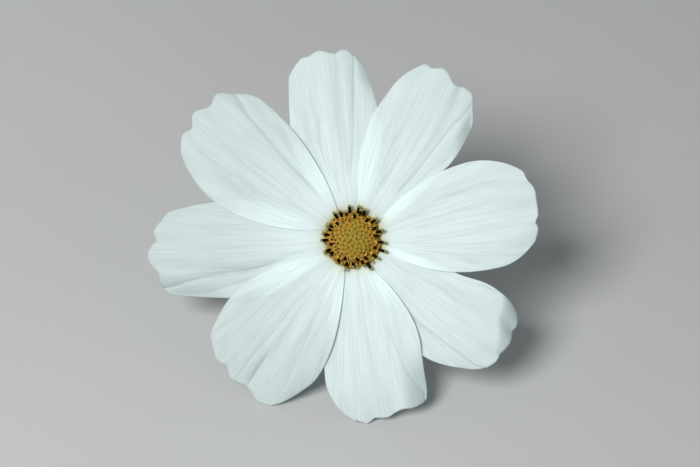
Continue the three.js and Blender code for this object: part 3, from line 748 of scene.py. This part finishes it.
def floret_material(name, stops, patch_mm, roughness, glow, shine=0.15):
    """Soft plant tissue whose colour runs through the stops, in patches and from ripe to young."""
    material = new_material(name)
    place = add_node(material, "ShaderNodeTexCoord").outputs["Object"]
    patches = add_node(
        material, "ShaderNodeTexNoise", {"Vector": place, "Scale": 1 / (patch_mm * MM), "Detail": 3}
    )
    age = add_node(material, "ShaderNodeAttribute", attribute_name="age").outputs["Fac"]
    youth = add_node(
        material, "ShaderNodeMath", {0: age, 1: AGE_SHIFT, 2: patches}, operation="MULTIPLY_ADD"
    )
    colour = add_node(material, "ShaderNodeValToRGB", {0: youth})
    set_ramp(colour, stops)
    grain = add_node(
        material, "ShaderNodeTexNoise", {"Vector": place, "Scale": 1 / (SKIN_GRAIN * MM), "Detail": 2}
    )
    bump = add_node(material, "ShaderNodeBump", {"Height": grain, "Strength": 0.3, "Distance": 0.04 * MM})
    surface = add_node(material, "ShaderNodeBsdfPrincipled", {
        "Base Color": colour, "Roughness": roughness, "Specular IOR Level": shine, "Normal": bump,
        "Subsurface Weight": glow, "Subsurface Radius": (1.0, 0.6, 0.2), "Subsurface Scale": 0.3 * MM,
    })
    add_node(material, "ShaderNodeOutputMaterial", {0: surface})
    return material


BUD_TINTS = [
    (0.1, "#7f5419"), (0.25, "#8a6a22"), (0.4, "#7c681e"), (0.5, "#75641c"), (0.7, "#83722a"),
]
COROLLA_TINTS = [(0.1, "#845519"), (0.2, "#957027"), (0.3, "#9f8533"), (0.5, "#ac964c")]
# Buds are waxy, dull olive yellow, and browner towards the rim. Open florets are paler and softer.
bud_tissue = floret_material("waxy bud tissue", BUD_TINTS, 0.8, 0.6, 0.1)
corolla_tissue = floret_material("floret corolla", COROLLA_TINTS, 0.6, 0.6, 0.1)
# The chaff is dry and rough, and reads as a dark gap between florets.
chaff_tissue = floret_material(
    "brown chaff between florets", [(0.3, "#5e4a18"), (0.7, "#765f28")], 0.6, 0.8, 0.0
)
# Ripe anthers are nearly black and matt, and young ones run from ochre to dark brown.
anther_wall = floret_material("anther wall", [(0.3, "#0d0402"), (0.7, "#1c0c05")], 0.5, 0.7, 0.0, 0.02)
young_anther_wall = floret_material(
    "young anther wall", [(0.35, "#80551c"), (0.5, "#52290d"), (0.65, "#2c1206")], 0.9, 0.7, 0.0
)
# Pollen is a dull, pale, rough powder.
pollen = floret_material("pollen on anther tips", [(0.3, "#646229"), (0.7, "#85834b")], 0.3, 0.8, 0.1)

# %% The disc's core
DISC_RADIUS, DISC_RIM_HEIGHT, DISC_CROWN_HEIGHT = 4.6, 0.5, 2.0
CORE_STEPS = 6  # from the rim to the crown


def disc_height(radius):
    """Height in mm of the core's dome at a distance from its axis."""
    return DISC_CROWN_HEIGHT - (DISC_CROWN_HEIGHT - DISC_RIM_HEIGHT) * (radius / DISC_RADIUS) ** 2


disc_place = head @ Matrix.Translation((-0.08, -0.27, 0))  # the disc sits a little low on this head
core_profile = [(0, PETAL_BOTTOM), (4.2, PETAL_BOTTOM), (4.5, PETAL_BOTTOM + 0.5)]
for k in range(CORE_STEPS, -1, -1):
    core_profile.append((DISC_RADIUS * k / CORE_STEPS, disc_height(DISC_RADIUS * k / CORE_STEPS)))


def finish_disc_piece(name, bm, material, thickness=0.0):
    """Finishes a piece that stands, with others, for the solid disc."""
    finish_piece(name, bm, disc_place, material, ["disc"], thickness)


finish_disc_piece("disc_core", spun(core_profile, 40), chaff_tissue)

# %% The shape of a closed bud
BUD_PROFILE = [
    (0.35, -0.7), (0.43, -0.2), (0.48, 0.15), (0.49, 0.32), (0.45, 0.46), (0.31, 0.54), (0.12, 0.53),
    (0, 0.49),
]
STAR_DEPTH, STAR_PINCH = 0.14, 0.1  # mm down, and share inwards, between two lobes


def bud():
    """A closed floret: a blunt bud whose five lobes meet in a shallow star at the top."""
    bm = spun(BUD_PROFILE, 15)
    for vertex in bm.verts:
        angle, radius = math.atan2(vertex.co.y, vertex.co.x), math.hypot(*vertex.co.xy)
        if vertex.co.z > 0.2 and radius > 0.05:
            groove = 0.5 - 0.5 * math.cos(5 * angle)
            vertex.co.z -= STAR_DEPTH * groove * smooth(vertex.co.z, 0.2, 0.6)
            vertex.co.xy *= 1 - STAR_PINCH * groove
    return template(bm)


# %% Closed buds in a golden-angle spiral
GOLDEN_ANGLE = math.pi * (3 - math.sqrt(5))
BUD_PITCH = 0.88  # mm between neighbours
SPIRAL_STEP = math.sqrt(math.sqrt(3) / (2 * math.pi))  # of the radius, for a pitch of 1
OPEN_FROM, OPEN_TO = 3.3, 5.9  # mm from the axis, where open florets stand
BUD_LEAN = 6  # degrees outwards per mm from the axis
RIPE_SPAN = (1.6, 4.4)  # mm from the axis, where florets begin to ripen and where they are ripe


def spiral(first, last):
    """(radius, azimuth) of the florets from one place of the spiral to another."""
    return [(SPIRAL_STEP * BUD_PITCH * math.sqrt(k + 0.5), k * GOLDEN_ANGLE) for k in range(first, last)]


def ripen(bm):
    """Keeps in the attribute age how far out a floret stands: 0 in the middle, 1 at the rim."""
    age = bm.verts.layers.float.new("age")
    for vertex in bm.verts:
        vertex[age] = smooth(math.hypot(*vertex.co.xy), *RIPE_SPAN)


random.seed(8)
bud_mesh = bud()
in_bud = int((OPEN_FROM / (SPIRAL_STEP * BUD_PITCH)) ** 2)
buds = bmesh.new()
for radius, azimuth in spiral(0, in_bud):
    size = 1.03 + 0.02 * radius + random.uniform(-0.05, 0.05)
    lean = math.radians(BUD_LEAN * radius)
    add_copy(buds, bud_mesh, standing(radius, azimuth, disc_height(radius), lean, azimuth, size))
print(in_bud, "closed buds in the middle")

# %% The shape of an open floret
TUBE_PROFILE = [(0.16, -0.9), (0.24, -0.2), (0.28, 0.4), (0.4, 0.75), (0.62, 0.92)]
FLARE_SPAN = (0.35, 0.92)  # mm up the tube, where it divides into lobes
LOBE_REACH, GAP_DEPTH = 0.45, 0.35  # share outwards at a lobe, and inwards between two
LOBE_RISE, LOBE_CURL = 0.08, 0.3  # mm up, and mm down at a lobe's tip
YOUNG_ANTHER_PROFILE = [(0.14, 0.0), (0.2, 0.3), (0.2, 0.72), (0.13, 0.88), (0, 0.92)]


def open_floret():
    """An open floret: a narrow tube that flares into five pointed lobes, curled outwards."""
    bm = spun(TUBE_PROFILE, 15)
    for vertex in bm.verts:
        angle = math.atan2(vertex.co.y, vertex.co.x)
        lobe = 0.5 + 0.5 * math.cos(5 * angle)
        flare = smooth(vertex.co.z, *FLARE_SPAN)
        vertex.co.xy *= 1 + flare * (LOBE_REACH * lobe - GAP_DEPTH)
        vertex.co.z += flare * (LOBE_RISE - LOBE_CURL * lobe * flare)
    return template(bm)


# %% Open florets, the outer buds and young anthers
BUD_SHARE = 0.45  # of the outer florets, still closed
ROOT_LIMIT = 4.95  # mm from the axis; florets farther out are rooted here and lean over the rim
OUTER_LEAN, LEAN_SPREAD = 8, 8  # degrees outwards per mm from the axis, and at random
RIM_LEAN, RIM_FROM = 22, 4.0  # degrees more per mm past this many mm from the axis
ANY_TURN = (0, 6)  # radians

floret_mesh = open_floret()
young_mesh = template(spun(YOUNG_ANTHER_PROFILE, 10))
to_rim = int((OPEN_TO / (SPIRAL_STEP * BUD_PITCH)) ** 2)
florets, young_anthers = bmesh.new(), bmesh.new()
for radius, azimuth in spiral(in_bud, to_rim):
    root = min(radius, ROOT_LIMIT)
    spread = random.uniform(-LEAN_SPREAD, LEAN_SPREAD)
    lean = math.radians(OUTER_LEAN * radius + RIM_LEAN * max(0, radius - RIM_FROM) + spread)
    height = disc_height(root) + random.uniform(-0.1, 0.15)
    place = standing(root, azimuth, height, lean, random.uniform(*ANY_TURN), random.uniform(0.95, 1.15))
    if random.random() < BUD_SHARE:
        add_copy(buds, bud_mesh, place)
    else:
        add_copy(florets, floret_mesh, place)
        raised = Matrix.Translation((0, 0, random.uniform(-0.4, 0.1)))
        add_copy(young_anthers, young_mesh, place @ raised)
ripen(buds)
finish_disc_piece("closed_buds", buds, bud_tissue)
finish_disc_piece("young_anthers", young_anthers, young_anther_wall)

# %% [markdown]
# ## Anthers and stigmas
#
# In a floret that sheds its pollen, five dark anthers are joined to one tube, and pale pollen is
# pushed out of its top. Older florets hold out a thin forked stigma instead. They lean outwards all
# round the rim, no two alike, so each is listed with its azimuth in degrees and the distance of its
# middle from the axis in millimetres, where a spiral would set them too evenly. The farther out one
# reaches, the more it leans.

# %% The shapes of an anther tube and its pollen
ANTHER_LENGTH = 1.6
ANTHER_PROFILE = [
    (0, -0.2), (0.2, -0.2), (0.29, 0.1), (0.33, 0.7), (0.33, 1.4), (0.28, ANTHER_LENGTH), (0, ANTHER_LENGTH),
]
POLLEN_PROFILE = [(0.28, 0.0), (0.32, 0.12), (0.31, 0.28), (0.22, 0.4), (0, 0.36)]
GROOVE_DEPTH, POLLEN_LUMPS, POLLEN_SUNK = 0.14, 0.35, 0.1  # shares of the radius, and mm


def anther():
    """The dark tube of joined anthers, with five shallow grooves."""
    bm = spun(ANTHER_PROFILE, 15)
    for vertex in bm.verts:
        groove = 0.5 - 0.5 * math.cos(5 * math.atan2(vertex.co.y, vertex.co.x))
        vertex.co.xy *= 1 - GROOVE_DEPTH * groove
    return template(bm)


def pollen_tip():
    """The clump of pollen on an anther tube, as wide as the tube."""
    bm = spun(POLLEN_PROFILE, 12)
    for vertex in bm.verts:
        vertex.co *= 1 + POLLEN_LUMPS * noise.noise(vertex.co * 5)
        vertex.co.z += ANTHER_LENGTH - POLLEN_SUNK
    return template(bm)


# %% Where the anthers stand
ANTHERS = [
    (96, 6.1), (79, 6.1), (74.5, 5.6), (66.4, 5.9), (53.3, 4.9), (41.3, 5.75), (26.7, 4.9), (16.7, 5.7),
    (8.8, 4.8), (-6, 5.9), (-20.7, 4.8), (-20.6, 6.4), (-37, 5.8), (-58.4, 6.3), (-55.5, 4.7),
    (-67, 5.3), (-89, 5.2), (-104, 5.4), (-124, 5.3), (-146.5, 5.3), (-156, 5.6), (-167, 4.45),
    (-178.3, 5.7), (169.9, 5.5), (157.7, 5.2), (149, 5.3), (134.3, 4.5), (125.5, 5.9), (115, 5.7),
    (104, 5.3), (85, 4.7), (-77.6, 4.2), (-112, 4.2),
]
LEAST_LEAN, LEAN_PER_MM, LEAN_FROM = 28, 19, 4.2  # degrees, and mm from the axis
SHORTEST, GROWN_SPAN = 0.55, (4.6, 5.8)  # the innermost anthers' share of the length, and mm
ANTHER_RISE = 0.75  # mm, of an anther's foot over the disc, and over its floret
POLLEN_FROM = 5.1  # mm from the axis; nearer ones have no pollen out yet

anther_mesh, tip_mesh = anther(), pollen_tip()
anthers, tips = bmesh.new(), bmesh.new()
for azimuth, middle in ANTHERS:
    lean = math.radians(LEAST_LEAN + LEAN_PER_MM * (middle - LEAN_FROM))
    grown = SHORTEST + (1 - SHORTEST) * smooth(middle, *GROWN_SPAN)
    foot = middle - grown * ANTHER_LENGTH / 2 * math.sin(lean)
    height = disc_height(min(foot, DISC_RADIUS)) + ANTHER_RISE
    place = standing(foot, math.radians(azimuth), height, lean, random.uniform(*ANY_TURN))
    place @= Matrix.Diagonal((1, 1, grown, 1))
    add_copy(anthers, anther_mesh, place)
    if middle > POLLEN_FROM:
        add_copy(tips, tip_mesh, place)
    add_copy(florets, floret_mesh, place @ Matrix.Translation((0, 0, -ANTHER_RISE)))
ripen(florets)
finish_disc_piece("open_florets", florets, corolla_tissue, 0.08)
finish_disc_piece("anther_tubes", anthers, anther_wall)
finish_disc_piece("pollen_tips", tips, pollen)


# %% A closed tube along a path
def tube(points, radii, sides):
    """A closed tube along points, its UV map with u round it and v along it."""
    def place(share, side):
        x = share * (len(points) - 1)
        centre = Vector(along(points, share))
        before, after = along(points, share - 0.01), along(points, share + 0.01)
        direction = (Vector(after) - Vector(before)).normalized()
        across = direction.orthogonal() if abs(direction.x) > 0.9 else direction.cross(Vector((1, 0, 0)))
        across.normalize()
        other = direction.cross(across)
        angle = math.pi * side
        radius = along([(r,) for r in radii], share)[0]
        return centre + radius * (math.cos(angle) * across + math.sin(angle) * other)

    bm = sheet(sides, 3 * (len(points) - 1), place)
    bmesh.ops.remove_doubles(bm, verts=bm.verts, dist=1e-5)
    bmesh.ops.holes_fill(bm, edges=[edge for edge in bm.edges if edge.is_boundary])
    bmesh.ops.recalc_face_normals(bm, faces=bm.faces)
    return bm


# %% Stigmas
STIGMAS = [
    (118, 6.3), (150, 6.4), (168, 6.5), (-153, 6.6), (-103, 6.7), (37, 6.4), (-49, 6.4), (-80, 6.1),
    (79, 6.9),
]
STIGMA_LEAN, STIGMA_RISE, STIGMA_REACH = 62, 0.9, 0.5  # degrees, mm over the disc, mm to its middle
STYLE_DROP, STYLE_SIZE = 1.0, 0.9  # the style under the fork is one more branch, lower and smaller

stigmas = bmesh.new()
branch_path = [(0, 0, -0.6), (0, 0, 0), (0.15, 0, 0.35), (0.45, 0, 0.5)]
branch = template(tube(branch_path, [0.14, 0.14, 0.14, 0.07], 8))
for azimuth, middle in STIGMAS:
    height, lean = disc_height(DISC_RADIUS) + STIGMA_RISE, math.radians(STIGMA_LEAN)
    turn = random.uniform(*ANY_TURN)
    place = standing(middle - STIGMA_REACH, math.radians(azimuth), height, lean, turn)
    style_foot = place @ Matrix.Translation((0, 0, -STYLE_DROP))
    add_copy(stigmas, branch, place)
    add_copy(stigmas, branch, place @ Matrix.Rotation(math.pi, 4, "Z"))
    add_copy(stigmas, branch, style_foot @ Matrix.Scale(STYLE_SIZE, 4))
finish_disc_piece("stigmas", stigmas, pollen)

# %% [markdown]
# ## Bracts
#
# Two rows of eight bracts hold the head from behind. The inner ones are broad, thin and
# straw-coloured with brown lines, and lie against the petals. The outer ones are narrow green
# leaves that stand away from them. A short cup joins the inner ones at their feet, and a collar the
# outer ones. A bract could be extruded from an outline, but it would be flat. So each is a grid bent
# along the same path as its solid, with a midrib pressed into it, and Solidify makes it thick.

# %% Leafy materials
LINES_ACROSS, LINES_ALONG = 14, 1.5  # lines 0.35 mm apart on an inner bract, running along it
PALE_MARGIN = {1: 0.38, 2: 0.5}  # shares of the breadth from the middle


def leaf_material(name, stops, edge_colour, roughness, through_share):
    """Leafy tissue with veins along it and a pale margin."""
    material = new_material(name)
    uv = add_node(material, "ShaderNodeTexCoord").outputs["UV"]
    lines = add_node(
        material, "ShaderNodeMapping", {"Vector": uv, "Scale": (LINES_ACROSS, LINES_ALONG, 1)}
    )
    veins = add_node(material, "ShaderNodeTexNoise", {"Vector": lines, "Scale": 1.0, "Detail": 3})
    body = add_node(material, "ShaderNodeValToRGB", {0: veins})
    set_ramp(body, stops)
    across = add_node(material, "ShaderNodeSeparateXYZ", {0: uv})
    off_middle = add_node(material, "ShaderNodeMath", {0: across, 1: 0.5}, operation="SUBTRACT")
    distance = add_node(material, "ShaderNodeMath", {0: off_middle}, operation="ABSOLUTE")
    margin = add_node(material, "ShaderNodeMapRange", {0: distance, **PALE_MARGIN})
    colour = add_node(
        material, "ShaderNodeMix", {0: margin, 6: body, 7: linear(edge_colour)}, data_type="RGBA"
    ).outputs[2]
    bump = add_node(material, "ShaderNodeBump", {"Height": veins, "Strength": 0.4, "Distance": 0.08 * MM})
    thin_tissue(material, colour, bump, roughness, 0.4, through_share)
    return material


dry_bract = leaf_material(
    "dry inner bract", [(0.35, "#8a6a35"), (0.48, "#b5a05c"), (0.65, "#cdc485")], "#dcd8ac", 0.6, 0.3
)
green_leaf = leaf_material(
    "green outer bract", [(0.35, "#3f6428"), (0.5, "#55803a"), (0.65, "#6d9849")], "#87a860", 0.5, 0.2
)

# %% A ring of bracts
BRACT_COUNT = 8
BRACT_COLUMNS, BRACT_ROWS = 14, 30
RIB_WIDTH, BRACT_WAVE = 0.18, 0.3  # share across, and mm


def bract_ring(path, half_width, first, dish, rib):
    """Eight bracts round the head, the first one turned by so many bracts. Each follows a (radius,
    height) path. dish lifts its margins and rib presses its middle, in mm."""
    ring = bmesh.new()
    ring.loops.layers.uv.new("UVMap")
    for k in range(BRACT_COUNT):
        turn = Matrix.Rotation(2 * math.pi * (k + first) / BRACT_COUNT, 3, "Z")

        def place(share, t):
            radius, height = along(path, share)
            height += dish * t * t - rib * bell(t, 0, RIB_WIDTH)
            height += BRACT_WAVE * share * noise.noise(Vector((2 * share, t, 5 * k + first)))
            return turn @ Vector((radius, t * half_width(share), height))

        add_copy(ring, template(sheet(BRACT_COLUMNS, BRACT_ROWS, place)), Matrix())
    return ring


# %% Inner bracts and their cup
CUP_FOOT, CUP_LIP = -4.6, -2.4
INNER_BRACT_DEPTH = 1.85  # mm below the petals' arch
INNER_PATH = [(6.42, -4.5), (6.5, -3.5), (6.55, -2.6), (6.75, -2.1)]
INNER_PATH += [(radius, arch_height(radius) - INNER_BRACT_DEPTH) for radius in (7.3, 8.6, 9.9, 11.2)]


def inner_half_width(share):
    """Broad in its lower half, then narrowing to a blunt tip."""
    return 2.45 - 3.2 * max(0, share - 0.45) ** 1.7 - 0.7 * smooth(share, 0.88, 1.0)


inner = bract_ring(INNER_PATH, inner_half_width, first=0.5, dish=0.1, rib=0.08)
finish_piece("inner_bract_blades", inner, head, dry_bract, ["inner_bracts"], 0.25)
cup = spun([(5.8, CUP_FOOT), (6.4, CUP_FOOT), (6.42, CUP_LIP), (5.8, CUP_LIP), (5.8, CUP_FOOT)], 64)
finish_piece("inner_bract_cup", cup, head, dry_bract, ["inner_bracts"])

# %% Outer bracts and their collar
OUTER_PATH = [(4.9, -6.15), (6.6, -5.5), (8.6, -5.15), (10.6, -5.3), (12.2, -5.9), (13.5, -6.8)]


def outer_half_width(share):
    """Narrow, a little broader in the middle, and tapering to a point."""
    belly, taper = 0.15 * math.sin(math.pi * share), 0.55 * max(0, share - 0.35) ** 1.2
    return 0.85 + belly - taper - 0.35 * smooth(share, 0.85, 1.0)


outer = bract_ring(OUTER_PATH, outer_half_width, first=0, dish=0.15, rib=0.12)
finish_piece("outer_bract_blades", outer, head, green_leaf, ["outer_bracts"], 0.3)
collar = spun([(5.35, -5.3), (4.0, -6.5), (4.4, -7.0), (5.75, -5.8), (5.35, -5.3)], 64)
finish_piece("outer_bract_collar", collar, head, green_leaf, ["outer_bracts"])

# %% [markdown]
# ## Receptacle and stalk
#
# The receptacle is the swollen end of the stalk that carries every floret. The stalk is thin and
# ribbed, and shows its pale wet pith where it was cut. It leaves the head square to the face, bends
# down to the level and lies on the table. A curve with a bevel would give a round tube too, but its
# UV map would not be known, so a grid is rolled up round the path, with v along the stalk. The skin
# is smooth and satin, with fine ribs 0.45 mm apart.

# %% Stalk material
RIBS_ROUND, RIBS_ALONG = 16, 3  # ribs round the stalk, and stretches along it


def stalk_material():
    material = new_material("green stalk skin")
    uv = add_node(material, "ShaderNodeTexCoord").outputs["UV"]
    lines = add_node(material, "ShaderNodeMapping", {"Vector": uv, "Scale": (RIBS_ROUND, RIBS_ALONG, 1)})
    ribs = add_node(material, "ShaderNodeTexNoise", {"Vector": lines, "Scale": 1.0, "Detail": 3})
    colour = add_node(material, "ShaderNodeValToRGB", {0: ribs})
    set_ramp(colour, [(0.3, "#48662c"), (0.5, "#6b8f3f"), (0.7, "#88a858")])
    bump = add_node(material, "ShaderNodeBump", {"Height": ribs, "Strength": 0.5, "Distance": 0.06 * MM})
    surface = add_node(material, "ShaderNodeBsdfPrincipled", {
        "Base Color": colour, "Roughness": 0.55, "Specular IOR Level": 0.3, "Normal": bump,
    })
    add_node(material, "ShaderNodeOutputMaterial", {0: surface})
    return material


# %% The stalk's path, from the head to the cut end
STALK_START = -8.5  # mm, where it begins to bend, in the head's frame
STALK_ROOT = 0.4  # mm that it goes on from there into the receptacle
STALK_ON_TABLE, STALK_SWAY = 30, -12  # mm straight on the table, and mm that its end swings along x
SOLID_RADIUS, SOLID_SIDES = 1.2, 12  # of the solid stalk, which lies on one of its flat sides
BEND_STEPS, TABLE_STEPS = 12, 6

start = head_centre / MM + outward * STALK_START
rest_height = SOLID_RADIUS * math.cos(math.pi / SOLID_SIDES)
bend = (start.z - rest_height) / (1 - math.cos(FACE_TILT))
total = bend * math.sin(FACE_TILT) + STALK_ON_TABLE


def stalk_point(y, z):
    """A point of the stalk's middle line. The stalk sways more the farther it runs."""
    return start.x + STALK_SWAY * ((y - start.y) / total) ** 2, y, z


stalk_path = [tuple(start + outward * STALK_ROOT), tuple(start)]
for k in range(1, BEND_STEPS + 1):
    angle = FACE_TILT * (1 - k / BEND_STEPS)
    y = start.y + bend * (math.sin(FACE_TILT) - math.sin(angle))
    stalk_path.append(stalk_point(y, rest_height + bend * (1 - math.cos(angle))))
for k in range(1, TABLE_STEPS + 1):
    y = start.y + bend * math.sin(FACE_TILT) + STALK_ON_TABLE * k / TABLE_STEPS
    stalk_path.append(stalk_point(y, rest_height))
stalk_length = sum((Vector(b) - Vector(a)).length for a, b in zip(stalk_path, stalk_path[1:]))
print("stalk, mm along its middle:", round(stalk_length, 1))

# %% Stalk, pith and receptacle
SKIN_RADIUS = 1.15  # mm, so that the round stalk rests on the table where the solid one does
NECK_RADII = [1.75, 1.25]  # mm, where it grows out of the receptacle
PITH_PROFILE = [(0, -0.3), (0.85, -0.3), (0.85, 0.02), (0.6, 0.04), (0.3, 0.03), (0, 0.02)]
RECEPTACLE = [
    (0, -9.2), (1.3, -9.0), (1.75, -8.2), (2.4, -7.2), (3.7, -6.3), (5.0, -5.2), (5.4, -4.7),
    (5.4, -3.95), (0, -3.95),
]

stalk_skin = stalk_material()
radii = NECK_RADII + [SKIN_RADIUS] * (len(stalk_path) - len(NECK_RADII))
finish_piece("stalk", tube(stalk_path, radii, 36), Matrix.Scale(MM, 4), stalk_skin, ["stem"])
stalk_end = Vector(stalk_path[-1])
cut_turn = (stalk_end - Vector(stalk_path[-2])).to_track_quat("Z", "Y").to_matrix().to_4x4()
cut_end = Matrix.Scale(MM, 4) @ Matrix.Translation(stalk_end) @ cut_turn
# Fresh pith is pale green and wet, so it shines a little.
pith = floret_material("wet pith", [(0.3, "#8f9f62"), (0.7, "#b3bd86")], 0.4, 0.5, 0.1, 0.4)
finish_piece("stalk_pith", spun(PITH_PROFILE, 24), cut_end, pith, ["stem"])
finish_piece("receptacle", spun(RECEPTACLE, 48), head, stalk_skin, ["stem"])

# %% [markdown]
# ## Table, light and camera
#
# A plain pale table, matt and a little darker than the petals, lets a white flower stand out. One
# large soft lamp stands high on the left, as a window would, and the rest of the room fills the
# shadows evenly. A sun lamp would be simpler, but its hard shadows would cut the petals up. The
# camera looks square into the face from 0.4 m, with a 100 mm lens.

# %% Table
TABLE_CLOUDS = 6.0  # per metre, of very faint unevenness in the paint
TABLE_HALF = 4  # m


def table_material():
    material = new_material("matt painted table")
    place = add_node(material, "ShaderNodeTexCoord").outputs["Object"]
    cloud = add_node(material, "ShaderNodeTexNoise", {"Vector": place, "Scale": TABLE_CLOUDS, "Detail": 4})
    colour = add_node(material, "ShaderNodeValToRGB", {0: cloud})
    set_ramp(colour, [(0.3, "#999b9a"), (0.7, "#9ea09f")])
    surface = add_node(material, "ShaderNodeBsdfPrincipled", {"Base Color": colour, "Roughness": 0.85})
    add_node(material, "ShaderNodeOutputMaterial", {0: surface})
    return material


table_bm = bmesh.new()
bmesh.ops.create_grid(table_bm, x_segments=1, y_segments=1, size=TABLE_HALF)
table_mesh = bpy.data.meshes.new("table")
table_bm.to_mesh(table_mesh)
table_bm.free()
table_mesh.materials.append(table_material())
table = bpy.data.objects.new("table", table_mesh)
bpy.context.scene.collection.objects.link(table)
print("table:", 2 * TABLE_HALF, "m square")

# %% Lamp and room
LAMP_WIDTH, LAMP_DISTANCE, LAMP_POWER = 0.35, 1.0, 15.9  # m, m and W
ROOM_STRENGTH = 0.4

scene = bpy.context.scene
scene.view_settings.view_transform = "Standard"

lamp_data = bpy.data.lights.new("window", "AREA")
lamp_data.shape = "DISK"
lamp_data.size = LAMP_WIDTH
lamp_data.energy = LAMP_POWER
lamp_data.color = (1.0, 0.99, 0.97)
lamp = bpy.data.objects.new("window", lamp_data)
scene.collection.objects.link(lamp)
towards_lamp = (face_turn @ Vector((-0.34, 0.15, 1.0))).normalized()
lamp.location = head_centre + towards_lamp * LAMP_DISTANCE
lamp.rotation_euler = towards_lamp.to_track_quat("Z", "Y").to_euler()

room = bpy.data.worlds.new("room")
room.use_nodes = True
background = room.node_tree.nodes["Background"]
background.inputs["Color"].default_value = (0.93, 0.97, 1.0, 1)
background.inputs["Strength"].default_value = ROOM_STRENGTH
scene.world = room
print("lamp at, mm:", [round(1000 * c) for c in lamp.location])

# %% Camera
LENS, SENSOR = 100, 36  # mm
DISTANCE = 401 * MM
AIM = Vector((-0.62 * MM, 0.93 * MM, 0))  # the point in the face that it looks at

camera_data = bpy.data.cameras.new("camera")
camera_data.lens, camera_data.sensor_width = LENS, SENSOR
camera = bpy.data.objects.new("camera", camera_data)
scene.collection.objects.link(camera)
eye = head_centre + outward * DISTANCE + face_turn @ AIM
camera.matrix_world = Matrix.Translation(eye) @ face_turn.to_4x4()
scene.camera = camera
print("camera at, mm:", [round(1000 * c) for c in eye])
